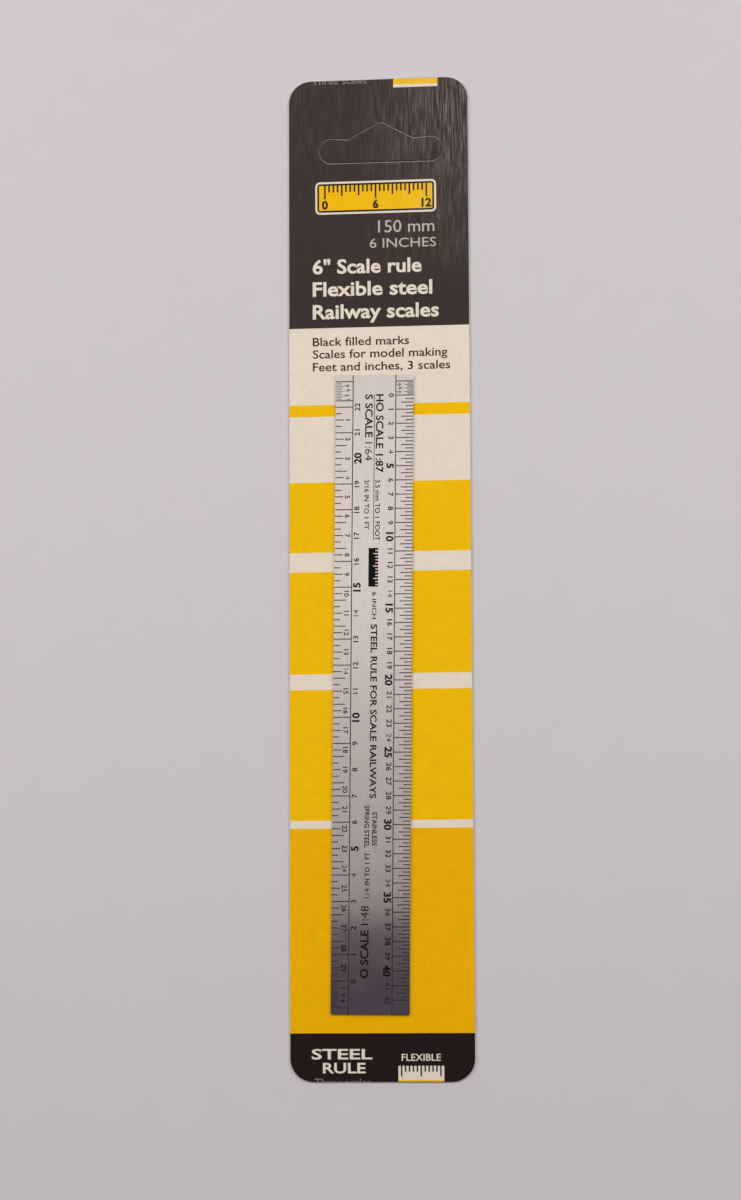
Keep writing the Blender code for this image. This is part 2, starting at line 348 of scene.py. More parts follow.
@dataclass(frozen=True)
class BrushedStainless:
    """Cold-rolled stainless strip, brushed along its length, with black paint in its etched marks.

    The brushing gives a nearly mirror-like warm grey with fine lengthways streaks. What lies below
    the strip's top face, in the marks, is matt black paint.
    """

    name: str
    top: float
    lean: float
    metal_hex: str = "c8bfbc"
    fill_hex: str = Ink.FILL.value
    streak_width: float = 0.12 * MM
    streak_length: float = 9.0 * MM
    grain_size: float = 0.22 * MM
    cloud_size: float = 7.0 * MM
    paint_below: float = 0.02 * MM

    def material(self) -> bpy.types.Material:
        """Builds the material."""
        nt = NodeTree(self.name)
        coordinates = nt.add("TexCoord")
        place = coordinates.outputs["Object"]
        streak_scale = (1 / self.streak_width, 1 / self.streak_length, 1 / self.streak_width)
        along = nt.add("Mapping", {"Vector": place},
                       {"Rotation": (0.0, 0.0, -self.lean), "Scale": streak_scale})
        streak = nt.noise(along.outputs[0], 1.0, 4.0, Roughness=0.65)
        grain = nt.noise(place, self.grain_size, 3.0)
        cloud = nt.noise(place, self.cloud_size, 3.0)
        tone = nt.ranged(streak, 0.3, 0.7, 0.93, 1.05)
        speck = nt.ranged(grain, 0.35, 0.65, 0.95, 1.04)
        metal = nt.toned(self.metal_hex, nt.maths("MULTIPLY", tone, speck))
        height = nt.add("SeparateXYZ", {0: place}).outputs["Z"]
        bare = nt.maths("GREATER_THAN", height, self.top - self.paint_below)
        up = nt.add("SeparateXYZ", {0: coordinates.outputs["Normal"]}).outputs["Z"]
        facing_up = nt.maths("GREATER_THAN", up, 0.5)
        inside = nt.maths("SUBTRACT", facing_up, bare, clamp=True)
        metallic = nt.maths("SUBTRACT", 1.0, inside)
        colour = nt.add("MixRGB", {0: inside, 1: metal}, {2: linear(self.fill_hex)})
        polish = nt.ranged(cloud, 0.3, 0.7, 0.075, 0.1)
        rough = nt.maths("MULTIPLY_ADD", inside, 0.4, polish)
        bump = nt.add("Bump", {"Height": nt.maths("ADD", streak, grain)},
                      {"Strength": 0.06, "Distance": 0.004 * MM})
        shader = nt.add("BsdfPrincipled", {"Base Color": colour.outputs[0], "Metallic": metallic,
                                           "Roughness": rough, "Normal": bump.outputs[0]})
        return nt.finish(shader)


@dataclass(frozen=True)
class SkinFilmFinish:
    """Clear ionomer skin film, heated and drawn down: water-clear, with a soft gloss.

    Light passes straight through it. Its outer face mirrors next to nothing seen from straight
    above, and much more at a slant. Where it shrank at the head of the card, fine lengthways draw
    lines catch more light.
    """

    name: str
    strength: float = 1.0
    streak_low: float = 68.0 * MM
    streak_high: float = 108.0 * MM
    tint_hex: str = "fefefd"
    gloss: float = 0.22
    mirror_cut: float = 0.037
    shine_hex: str = "fff3ea"
    streak_share: float = 0.14
    streak_width: float = 0.34 * MM
    streak_length: float = 6.0 * MM
    streak_lean: float = math.radians(-4)
    right_low: float = -6.0 * MM
    right_high: float = 18.0 * MM
    left_share: float = 0.16
    haze_size: float = 0.9 * MM

    def material(self) -> bpy.types.Material:
        """Builds the material."""
        nt = NodeTree(self.name)
        place = nt.add("TexCoord").outputs["Object"]
        haze = nt.noise(place, self.haze_size, 2.0, Roughness=0.5)
        bump = nt.add("Bump", {"Height": haze}, {"Strength": 0.05, "Distance": 0.01 * MM})
        clear = nt.add("BsdfTransparent", values={"Color": linear(self.tint_hex)})
        shine = nt.add("BsdfGlossy", {"Normal": bump.outputs[0]},
                       {"Roughness": self.gloss, "Color": linear(self.shine_hex)})
        mirror = nt.add("Fresnel", {"Normal": bump.outputs[0]}, {"IOR": 1.5})
        share = nt.maths("SUBTRACT", mirror.outputs[0], self.mirror_cut, clamp=True)
        share = nt.maths("ADD", share, self._draw_lines(nt, place))
        inner = nt.add("NewGeometry").outputs["Backfacing"]
        outer = nt.maths("MULTIPLY_ADD", inner, -self.strength, self.strength)
        share = nt.maths("MULTIPLY", share, outer)
        shader = nt.add("MixShader", {0: share, 1: clear.outputs[0], 2: shine.outputs[0]})
        return nt.finish(shader)

    def _draw_lines(self, nt: NodeTree, place: bpy.types.NodeSocket) -> bpy.types.NodeSocket:
        """How much more light the draw lines catch, strongest at the head's right-hand side."""
        scale = (1 / self.streak_width, 1 / self.streak_length, 1 / self.streak_length)
        along = nt.add("Mapping", {"Vector": place},
                       {"Rotation": (0.0, 0.0, self.streak_lean), "Scale": scale})
        lines = nt.noise(along.outputs[0], 1.0, 3.0, Distortion=0.4)
        sharp = nt.ranged(lines, 0.42, 0.72, 0.0, self.streak_share)
        axes = nt.add("SeparateXYZ", {0: place})
        head = nt.ranged(axes.outputs["Y"], self.streak_low, self.streak_high)
        right = nt.ranged(axes.outputs["X"], self.right_low, self.right_high, self.left_share)
        return nt.maths("MULTIPLY", sharp, nt.maths("MULTIPLY", head, right))


@dataclass(frozen=True)
class TableLaminate:
    """A plain pale grey table top, matt, with a very faint mottle."""

    name: str = "pale_matt_table"
    colour_hex: str = "d3cfd0"
    mottle_size: float = 9.0 * MM

    def material(self) -> bpy.types.Material:
        """Builds the material."""
        nt = NodeTree(self.name)
        place = nt.add("TexCoord").outputs["Object"]
        mottle = nt.noise(place, self.mottle_size, 4.0)
        colour = nt.toned(self.colour_hex, nt.ranged(mottle, 0.0, 1.0, 0.985, 1.012))
        shader = nt.add("BsdfPrincipled", {"Base Color": colour},
                        {"Roughness": 0.7, "Specular IOR Level": 0.2})
        return nt.finish(shader)


@dataclass
class Sheet:
    """A flat layer's own axes: where its marks lie, their turn and their height."""

    origin: Vector
    lean: float
    height: float

    def matrix(self, x: float, y: float, turn: float = 0.0) -> Matrix:
        """The place of something at x, y on the sheet, turned by an angle."""
        at = Matrix.Translation((self.origin.x, self.origin.y, self.height))
        return at @ Matrix.Rotation(self.lean, 4, "Z") @ Matrix.Translation((x, y, 0)) \
            @ Matrix.Rotation(turn, 4, "Z")

    def lettering(self, words: str, x: float, y: float, cap: float, align: Align = Align.LEFT,
                  turn: float = 0.0, bold: float = 0.0, width: float | None = None,
                  stretch: float = 1.0) -> bpy.types.Object:
        """Sets one line of lettering as flat shapes.

        Args:
            words: What it says.
            x: Where the line starts, ends or is centred, across the sheet.
            y: The baseline's place, along the sheet.
            cap: The height of a capital.
            align: Which end of the line x is.
            turn: The angle of the baseline.
            bold: How far the outlines are thickened, as a share of the letter size.
            width: The line's full width, or None for its natural width.
            stretch: The letters' width against their natural width, where width is None.

        Returns:
            The lettering as a flat mesh.
        """
        size = cap / CAPITAL_SHARE
        bpy.ops.object.select_all(action="DESELECT")
        bpy.ops.object.text_add()
        obj = bpy.context.object
        obj.data.body = words
        obj.data.resolution_u = LETTER_STEPS
        obj.data.offset = bold
        only(obj)
        bpy.ops.object.convert(target="MESH")
        xs = [vert.co.x for vert in obj.data.vertices]
        low, high = min(xs), max(xs)
        across = size * stretch if width is None else width / (high - low)
        shift = {Align.LEFT: low, Align.RIGHT: high, Align.MIDDLE: (low + high) / 2}[align]
        obj.data.transform(Matrix.Diagonal((across, size, 1, 1))
                           @ Matrix.Translation((-shift, 0, 0)))
        obj.data.transform(self.matrix(x, y, turn))
        return obj

    def bar(self, x: float, y: float, width: float, length: float,
            turn: float = 0.0, corner: float = 0.0) -> bpy.types.Object:
        """Lays a flat bar of ink.

        Args:
            x: Its middle across the sheet.
            y: Its middle along the sheet.
            width: Its size across.
            length: Its size along.
            turn: Its angle.
            corner: The radius of its corners.

        Returns:
            The bar as a flat mesh.
        """
        bpy.ops.object.select_all(action="DESELECT")
        bpy.ops.mesh.primitive_plane_add(size=1)
        obj = bpy.context.object
        obj.data.transform(Matrix.Diagonal((width, length, 1, 1)))
        if corner:
            bpy.ops.object.mode_set(mode="EDIT")
            bpy.ops.mesh.select_all(action="SELECT")
            bpy.ops.mesh.bevel(affect="VERTICES", offset=corner, segments=CORNER_STEPS)
            bpy.ops.object.mode_set(mode="OBJECT")
        obj.data.transform(self.matrix(x, y, turn))
        return obj


def ink_piece(pieces: list[bpy.types.Object], name: str, body: str,
              material: bpy.types.Material) -> bpy.types.Object:
    """Joins flat shapes into one closed thin layer of ink that moves with a body.

    Args:
        pieces: The flat shapes.
        name: The piece's name.
        body: The body that it moves with.
        material: Its finish.

    Returns:
        The finished piece.
    """
    obj = joined(pieces, name)
    # Worked on in millimetres, because the smallest letters' faces lose their normals in metres.
    obj.data.transform(Matrix.Scale(1 / MM, 4))
    up = {"value": (0, 0, INK_THICKNESS / MM)}
    only(obj)
    bpy.ops.object.mode_set(mode="EDIT")
    bpy.ops.mesh.select_mode(type="FACE")
    bpy.ops.mesh.select_all(action="SELECT")
    bpy.ops.mesh.remove_doubles(threshold=WELD_DISTANCE / MM)
    bpy.ops.mesh.dissolve_degenerate(threshold=WELD_DISTANCE / MM)
    bpy.ops.object.mode_set(mode="OBJECT")
    for face in obj.data.polygons:
        face.select = face.normal.z < 0
    bpy.ops.object.mode_set(mode="EDIT")
    bpy.ops.mesh.flip_normals()
    bpy.ops.mesh.select_all(action="SELECT")
    bpy.ops.mesh.extrude_region_move(TRANSFORM_OT_translate=up)
    bpy.ops.object.mode_set(mode="OBJECT")
    obj.data.transform(Matrix.Scale(MM, 4))
    bpy.ops.object.shade_flat()
    obj.data.materials.clear()
    obj.data.materials.append(material)
    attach(obj, body)
    LOG.info("piece %s: %d faces", name, len(obj.data.polygons))
    return obj


@dataclass
class HangCard:
    """The printed card, its tab and all their print. Places are from the card's middle."""

    text_left: float = -16.4 * MM
    low: Vector = field(default_factory=lambda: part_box("backing_card")[0])
    high: Vector = field(default_factory=lambda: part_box("backing_card")[1])

    # Where each printed band starts, from the card's foot upwards.
    bands: tuple[tuple[float, Ink], ...] = (
        (-123.0 * MM, Ink.BLACK),
        (-111.5 * MM, Ink.DEEP_YELLOW),
        (-63.07 * MM, Ink.CREAM),
        (-60.6 * MM, Ink.YELLOW),
        (-28.86 * MM, Ink.CREAM),
        (-25.66 * MM, Ink.YELLOW),
        (-0.5 * MM, Ink.CREAM),
        (4.4 * MM, Ink.YELLOW),
        (21.6 * MM, Ink.CREAM),
        (37.55 * MM, Ink.YELLOW),
        (40.7 * MM, Ink.CREAM),
        # The header: black ink painted lighter, a painted sheen of the film.
        (59.9 * MM, Ink.HEADER_BLACK),
    )

    def build(self) -> None:
        """Dresses the board and prints it."""
        board = PrintedBoard("offset_printed_paperboard", self.low.y, self.high.y, self.high.z,
                             self.bands, *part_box("hang_tab"))
        for node in ("backing_card", "hang_tab"):
            dress(node, board.material())
        over_bands = (Ink.BLACK, Ink.CREAM, Ink.PALE_GREY, Ink.DIM_GREY, Ink.YELLOW, Ink.BROWN)
        self.inks = {ink: PrintInk("offset_ink_" + ink.name.lower(), ink).material()
                     for ink in over_bands}
        self.sheet = Sheet(Vector((0, 0, 0)), 0.0, self.high.z + INK_LIFT)
        self._badge()
        self._header()
        self._notes()
        self._footer()

    def _badge(self) -> None:
        """A plain yellow bar with ruler marks, in place of any mark."""
        x, y, width, height = -0.7 * MM, 93.2 * MM, 30.0 * MM, 8.2 * MM
        corner, field_inset = 1.2 * MM, 0.95 * MM
        rings = (("rim", 0.0, Ink.CREAM), ("ring", 0.5 * MM, Ink.BLACK),
                 ("field", field_inset, Ink.YELLOW))
        for i, (name, inset, ink) in enumerate(rings):
            plate = self._layer(i).bar(x, y, width - 2 * inset, height - 2 * inset,
                                       corner=corner - inset)
            ink_piece([plate], f"badge_{name}_print", "card", self.inks[ink])
        layer, top = self._layer(len(rings)), y + height / 2 - field_inset
        long, middling, short, tick_width = 3.4 * MM, 2.6 * MM, 1.7 * MM, 0.42 * MM
        baseline, cap = y - 2.75 * MM, 2.0 * MM
        half_count, pitch = 12, 1.05 * MM
        marks = []
        for i in range(2 * half_count + 1):
            length = long if i % half_count == 0 else middling if i % 4 == 0 else short
            marks.append(layer.bar(x + (i - half_count) * pitch, top - length / 2, tick_width,
                                   length))
        for words, across in (("0", -half_count), ("6", 0), ("12", half_count)):
            marks.append(layer.lettering(words, x + across * pitch, baseline, cap,
                                         Align.MIDDLE, bold=0.04))
        ink_piece(marks, "badge_marks_print", "card", self.inks[Ink.BLACK])

    def _layer(self, count: int) -> Sheet:
        """The card's print plane with a number of ink layers already on it."""
        return Sheet(self.sheet.origin, 0.0, self.sheet.height + count * INK_STEP)

    def _header(self) -> None:
        """The size in light letters, and the name in three bold lines."""
        s = self.sheet
        light = [
            s.lettering("150 mm", 13.8 * MM, 84.2 * MM, 3.0 * MM, Align.RIGHT, width=13.9 * MM),
            s.lettering("6 INCHES", 14.2 * MM, 80.4 * MM, 2.3 * MM, Align.RIGHT,
                        width=16.4 * MM),
        ]
        ink_piece(light, "header_size_print", "card", self.inks[Ink.PALE_GREY])
        lines = (("6\" Scale rule", 74.2, 27.0), ("Flexible steel", 68.6, 29.6),
                 ("Railway scales", 62.9, 31.2))
        bold = [s.lettering(words, self.text_left, y * MM, 3.4 * MM, bold=0.024, width=w * MM)
                for words, y, w in lines]
        ink_piece(bold, "header_name_print", "card", self.inks[Ink.CREAM])

    def _notes(self) -> None:
        """Three small dark lines on the cream band."""
        lines = (("Black filled marks", 56.1, 23.8), ("Scales for model making", 53.0, 33.2),
                 ("Feet and inches, 3 scales", 49.8, 33.9))
        notes = [self.sheet.lettering(words, self.text_left, y * MM, 2.05 * MM, bold=0.01,
                                      width=w * MM) for words, y, w in lines]
        ink_piece(notes, "notes_print", "card", self.inks[Ink.BROWN])

    def _footer(self) -> None:
        """The footer's words and ruler sign, cut off by the lower edge and shown at the upper.

        The sheet was printed with one card straight above the next, so the upper edge carries the
        last of the footer of the card above it.
        """
        ruler_x, ruler_width = 9.3 * MM, 11.0 * MM
        words = (("STEEL", -9.75, -117.6, 14.6), ("RULE", -9.2, -120.9, 10.3))
        ink_piece([self.sheet.lettering(text, x * MM, y * MM, 2.35 * MM, Align.MIDDLE,
                                        bold=0.02, width=w * MM) for text, x, y, w in words],
                  "footer_name_print", "card", self.inks[Ink.CREAM])
        ink_piece([self.sheet.lettering("FLEXIBLE", ruler_x, -118.0 * MM, 1.6 * MM,
                                        Align.MIDDLE, bold=0.01, width=9.4 * MM)],
                  "footer_note_print", "card", self.inks[Ink.CREAM])
        for name, shift in (("footer", 0.0), ("upper_edge", self.high.y - self.low.y)):
            foot = self.bands[0][0] + shift
            grey = [self.sheet.lettering("Three scales", self.text_left, foot - 0.9 * MM,
                                         1.7 * MM, width=13.6 * MM)]
            self._cut_print(grey, f"{name}_line_print", Ink.DIM_GREY)
            bar = [self.sheet.bar(ruler_x, foot + 0.8 * MM, ruler_width, 6.0 * MM)]
            self._cut_print(bar, f"{name}_ruler_print", Ink.CREAM)
            marks = []
            for i in range(11):
                extra = 1.1 if i % 5 == 0 else 0.0
                marks.append(self._layer(1).bar((4.6 + 0.94 * i) * MM,
                                                foot + (3.1 - 0.5 * extra) * MM, 0.36 * MM,
                                                (1.4 + extra) * MM))
            self._cut_print(marks, f"{name}_marks_print", Ink.BLACK)
            stripe = [self._layer(1).bar(ruler_x, foot - 0.5 * MM, ruler_width, 1.9 * MM)]
            self._cut_print(stripe, f"{name}_stripe_print", Ink.YELLOW)

    def _cut_print(self, shapes: list[bpy.types.Object], name: str, ink: Ink) -> None:
        """Makes a printed piece and drops what lies past the card's ends."""
        edge_gap = 0.05 * MM
        obj = joined(shapes, name)
        mesh = bmesh.new()
        mesh.from_mesh(obj.data)
        for edge, way in ((self.low.y, -1), (self.high.y, 1)):
            bmesh.ops.bisect_plane(mesh, geom=mesh.verts[:] + mesh.edges[:] + mesh.faces[:],
                                   plane_co=(0, edge - way * edge_gap, 0), plane_no=(0, way, 0),
                                   clear_outer=True)
        left = len(mesh.faces)
        mesh.to_mesh(obj.data)
        mesh.free()
        if left:
            ink_piece([obj], name, "card", self.inks[ink])
        else:
            bpy.data.objects.remove(obj, do_unlink=True)


@dataclass
class ScaleRule:
    """The steel rule: its own axes, its numerals and its legends.

    x runs across the rule to the right, and u runs down from its upper end.
    """

    length: float = 6.125 * INCH
    width: float = 0.75 * INCH
    lean: float = math.radians(-0.67)
    end_margin: float = INCH / 16
    foot_1_87: float = 3.5 * MM
    foot_1_64: float = INCH * 3 / 16
    foot_1_48: float = INCH / 4
    line_inset: float = 4.26 * MM
    inch_cap: float = 0.95 * MM
    inch_bold: float = 0.012
    down: float = -math.pi / 2
    up: float = math.pi / 2

    def build(self) -> None:
        """Dresses the strip and adds its filled numerals and legends."""
        low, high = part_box("steel_rule")
        centre = (low + high) / 2
        steel = BrushedStainless("brushed_stainless_steel", high.z, self.lean)
        dress("steel_rule", steel.material())
        self.sheet = Sheet(centre, self.lean, high.z + INK_LIFT)
        self.fill = PrintInk("black_etch_fill", Ink.FILL).material()
        self._numerals_1_87()
        self._numerals_1_64()
        self._numerals_1_48()
        self._legends()

    def mark(self, words: str, x: float, u: float, cap: float, turn: float,
             bold: float = 0.0, stretch: float = 1.0, align: Align = Align.MIDDLE,
             width: float | None = None) -> bpy.types.Object:
        """Sets lettering along the rule.

        Args:
            words: What it says.
            x: Where the middle of its height lies, across the rule.
            u: Where its middle, start or end lies, down the rule.
            cap: The height of a capital.
            turn: The angle of the baseline, down or up.
            bold: How far the outlines are thickened, as a share of the letter size.
            stretch: The letters' width against their natural width, where width is None.
            align: Which end of the line u is.
            width: The line's full width, or None for its natural width.

        Returns:
            The lettering as a flat mesh.
        """
        side = 1 if turn > 0 else -1
        return self.sheet.lettering(words, x + side * cap / 2, self.length / 2 - u, cap, align,
                                    turn, bold, width, stretch)

    def _numerals_1_87(self) -> None:
        """Feet 0 to 42 of the right edge, read downwards, and the inches of its end block."""
        zero = self.end_margin + self.foot_1_87
        line = self.width / 2 - self.line_inset
        made = [self._foot_numeral(foot, line, -1, zero + foot * self.foot_1_87, self.down)
                for foot in range(43)]
        for inch, across in ((9, 0.75), (6, 1.15), (3, 0.85)):
            u = zero - self.foot_1_87 * inch / 12
            made.append(self._inch_numeral(inch, line + across * MM, u, self.down))
        ink_piece(made, "numerals_1_87", "rule", self.fill)

    def _foot_numeral(self, foot: int, line: float, side: int, u: float,
                      turn: float) -> bpy.types.Object:
        """One numeral beside a long line, larger and bolder at every fifth foot.

        Args:
            foot: The number of feet.
            line: Where the long line lies, across the rule.
            side: Which side of the line it stands on, 1 for the right and -1 for the left.
            u: Where its middle lies, down the rule.
            turn: The angle of its baseline.

        Returns:
            The numeral as a flat mesh.
        """
        if foot % 5 == 0 and foot > 0:
            return self.mark(str(foot), line + side * 1.3 * MM, u, 1.66 * MM, turn, 0.036, 1.12)
        return self.mark(str(foot), line + side * 1.12 * MM, u, 1.2 * MM, turn,
                         self._weight(foot), 1.15)

    def _inch_numeral(self, inch: int, x: float, u: float, turn: float) -> bpy.types.Object:
        """One of the small numerals of a foot that is divided into inches."""
        return self.mark(str(inch), x, u, self.inch_cap, turn, self.inch_bold)

    @staticmethod
    def _weight(foot: int) -> float:
        """How bold a small numeral is: a 4 stays light, so that its counter stays open."""
        return 0.0 if "4" in str(foot) else 0.018

    def _numerals_1_64(self) -> None:
        """Feet 1 to 29 inside the left edge's ticks, read downwards, and inches 0 to 9."""
        zero = self.end_margin + self.foot_1_64
        line = self.line_inset - self.width / 2
        made = [self.mark(str(foot), line - 1.2 * MM, zero + foot * self.foot_1_64, 1.15 * MM,
                          self.down, self._weight(foot), 1.06) for foot in range(1, 30)]
        for inch, across in ((9, 1.5), (6, 1.1), (3, 1.5), (0, 1.1)):
            u = zero - self.foot_1_64 * inch / 12 - 0.2 * MM
            made.append(self._inch_numeral(inch, line - across * MM, u, self.down))
        ink_piece(made, "numerals_1_64", "rule", self.fill)

    def _numerals_1_48(self) -> None:
        """Feet 0 to 22 beside the left line, read upwards from the lower end."""
        zero = self.length - self.end_margin - self.foot_1_48
        line = self.line_inset - self.width / 2
        made = [self._foot_numeral(foot, line, 1, zero - foot * self.foot_1_48, self.up)
                for foot in range(23)]
        for inch in (3, 6, 9):
            u = zero + self.foot_1_48 * inch / 12
            made.append(self._inch_numeral(inch, line - 1.2 * MM, u, self.up))
        ink_piece(made, "numerals_1_48", "rule", self.fill)

    def _legends(self) -> None:
        """What each scale is, the rule's kind and its steel, in the middle of the strip."""
        # Words, place across the strip, first and last place down it, cap height, boldness.
        lines = (
            ("HO SCALE 1:87", 1.34, 4.8, 24.2, 1.75, 0.02),
            ("3.5 mm TO 1 FOOT", 0.94, 26.0, 41.0, 1.1, 0.016),
            ("S SCALE", -1.32, 4.8, 15.5, 1.75, 0.02),
            ("1:64", -1.32, 16.7, 21.2, 1.75, 0.0),
            ("3/16 IN TO 1 FT", -1.74, 26.0, 38.2, 1.1, 0.014),
            ("6 INCH", 0.3, 53.6, 60.2, 1.05, 0.012),
            ("STEEL RULE FOR SCALE RAILWAYS", 0.3, 61.5, 103.8, 1.5, 0.02),
            ("STAINLESS", 0.75, 107.0, 115.2, 1.1, 0.02),
            ("SPRING STEEL", -1.1, 105.5, 115.6, 1.1, 0.02),
            ("O SCALE", -1.47, 146.9, 135.5, 1.85, 0.02),
            ("1:48", -1.47, 134.2, 129.6, 1.85, 0.0),
            ("1/4", -0.97, 127.8, 125.4, 1.1, 0.0),
            ("IN TO 1 FT", -0.97, 124.6, 116.8, 1.1, 0.018),
        )
        made = [self.mark(words, x * MM, first * MM, cap * MM,
                          self.down if last > first else self.up, bold, align=Align.LEFT,
                          width=abs(last - first) * MM)
                for words, x, first, last, cap, bold in lines]
        made.append(self._bar(0.03, 4.8, 40.9, 0.16))
        ink_piece(made, "rule_legends", "rule", self.fill)
        self._pictogram()

    def _bar(self, x: float, first: float, last: float, width: float) -> bpy.types.Object:
        """A bar lengthways of the rule, in millimetres."""
        return self.sheet.bar(x * MM, self.length / 2 - (first + last) / 2 * MM, width * MM,
                              (last - first) * MM)

    def _pictogram(self) -> None:
        """A small square-cornered ruler sign: a dark bar whose ticks are left bare."""
        first, last, middle, half, gap, pitch = 42.8, 52.3, 0.03, 1.2, 0.26, 0.76
        made = [self._bar(middle - 0.6, first, last, half)]
        ticks = [first + 0.5 + pitch * i for i in range(12)]
        for i, tick in enumerate(ticks + [last]):
            start = first if i == 0 else ticks[i - 1] + gap
            made.append(self._bar(middle + 0.6, start, tick, half))
            if i < len(ticks) and i % 4 != 1:
                made.append(self._bar(middle + 0.25, tick, tick + gap, 0.5))
        ink_piece(made, "rule_pictogram", "rule", self.fill)


@dataclass
class SkinFilm:
    """The clear film: flat on the card, drawn up over the rule, and wrinkled where it shrank."""

    rule: ScaleRule
    card: HangCard
    thickness: float = 0.08 * MM
    room: float = 0.012 * MM
    columns: float = 0.36 * MM
    rows: float = 1.3 * MM
    tent_start: float = 0.06 * MM
    tent_run: float = 0.5 * MM
    tab_inset: float = 0.16 * MM
    margin: float = 3.0 * MM
    wrinkle_depth: float = 0.006 * MM
    edge_rise: float = 0.2
    smooth_angle: float = math.radians(40)

    def build(self) -> None:
        """Makes the sheet over the card and the facing over the tab."""
        film_low, film_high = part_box("skin_film")
        self.base = film_low.z
        self.rise = film_high.z - film_low.z
        rule_low, rule_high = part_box("steel_rule")
        self.centre = (rule_low + rule_high) / 2
        finishes = (SkinFilmFinish("clear_skin_film").material(),
                    SkinFilmFinish("film_cut_edge", strength=0.15).material())
        self._sheet("skin_film_sheet", "skin_film", "film", finishes)
        self._sheet("tab_film_sheet", "hang_tab_film", "hang_tab", finishes)

    def pocket(self, across: np.ndarray, along: np.ndarray) -> np.ndarray:
        """How far the film is lifted, from 0 on the card to 1 on the rule.

        Args:
            across: Distances from the rule's middle line.
            along: Distances from the rule's middle, lengthways.

        Returns:
            The share of the pocket's height.
        """
        side = np.maximum(np.abs(across) - self.rule.width / 2, 0)
        end = np.maximum(np.abs(along) - self.rule.length / 2, 0)
        t = np.clip((np.hypot(side, end) - self.tent_start) / self.tent_run, 0, 1)
        return 1 - t * t * (3 - 2 * t)

    def wrinkles(self, x: np.ndarray, y: np.ndarray) -> np.ndarray:
        """The height of the film's shrink wrinkles, lengthways ripples.

        Args:
            x: Places across the card.
            y: Places along the card.

        Returns:
            The height at each place, greatest at the upper right.
        """
        reach = np.clip((y - 40 * MM) / (50 * MM), 0, 1) * np.clip((x + 4 * MM) / (16 * MM), 0, 1)
        lean = 0.10 * (y - 100 * MM)
        ripple = np.zeros_like(x)
        # Each set of ripples: its pitch across, the length of its sway and where that starts.
        sets = ((2.6, 41, 0.3), (1.7, 27, 2.1), (4.1, 63, 4.4))
        for i, (pitch, wave, phase) in enumerate(sets):
            bend = 0.5 * MM * np.sin(2 * np.pi * y / (wave * MM) + phase)
            across = x + lean + bend
            ripple += np.sin(2 * np.pi * across / (pitch * MM) + 1.7 * i) / (1 + 0.5 * i)
        return self.wrinkle_depth * ripple * (0.12 + reach)

    def _stations(self, low: float, high: float, edge: float, pitch: float) -> np.ndarray:
        """Places of the grid's lines: evenly spaced, and closer where the film leaves the rule.

        Args:
            low: How far the grid has to reach on the low side.
            high: How far it has to reach on the high side.
            edge: Where the rule ends, on both sides.
            pitch: The largest spacing.

        Returns:
            The places in order, from the rule's middle.
        """
        steep = [edge + step * MM for step in (-0.3, 0.04, 0.12, 0.2, 0.28, 0.36, 0.44, 0.58)]
        lines = {0.0}
        for side, reach in ((-1, -low), (1, high)):
            for start, stop in ((0.0, steep[0]), (steep[-1], reach)):
                if stop > start:
                    count = math.ceil((stop - start) / pitch)
                    lines.update(side * (start + (stop - start) * i / count)
                                 for i in range(1, count + 1))
            lines.update(side * place for place in steep if place < reach)
        return np.array(sorted(lines))

    def _draped_grid(self, node: str) -> bpy.types.Object:
        """A grid that lies on the card and over the rule, a little larger than a film node.

        Args:
            node: The film node that it has to cover.

        Returns:
            The grid, still without thickness.
        """
        low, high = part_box(node)
        left, right = low.x - self.margin - self.centre.x, high.x + self.margin - self.centre.x
        foot, head = low.y - self.margin - self.centre.y, high.y + self.margin - self.centre.y
        across = self._stations(left, right, self.rule.width / 2, self.columns)
        along = self._stations(foot, head, self.rule.length / 2, self.rows)
        # The tab lies wholly past the rule, and needs none of the lines below it.
        along = along[along > foot - self.rows]
        bpy.ops.object.select_all(action="DESELECT")
        bpy.ops.mesh.primitive_grid_add(x_subdivisions=len(across) - 1,
                                        y_subdivisions=len(along) - 1, size=1)
        sheet = bpy.context.object
        points = np.empty(len(sheet.data.vertices) * 3)
        sheet.data.vertices.foreach_get("co", points)
        points = points.reshape(-1, 3)
        s = across[np.rint((points[:, 0] + 0.5) * (len(across) - 1)).astype(int)]
        t = along[np.rint((points[:, 1] + 0.5) * (len(along) - 1)).astype(int)]
        lean = self.rule.lean
        points[:, 0] = self.centre.x + s * math.cos(lean) - t * math.sin(lean)
        points[:, 1] = self.centre.y + s * math.sin(lean) + t * math.cos(lean)
        lift = self.pocket(s, t)
        flat = self.base + self.thickness + self.room
        points[:, 2] = flat + (self.rise - self.thickness - 2 * self.room) * lift
        points[:, 2] += self.wrinkles(points[:, 0], points[:, 1]) * (1 - lift)
        sheet.data.vertices.foreach_set("co", points.ravel())
        return sheet

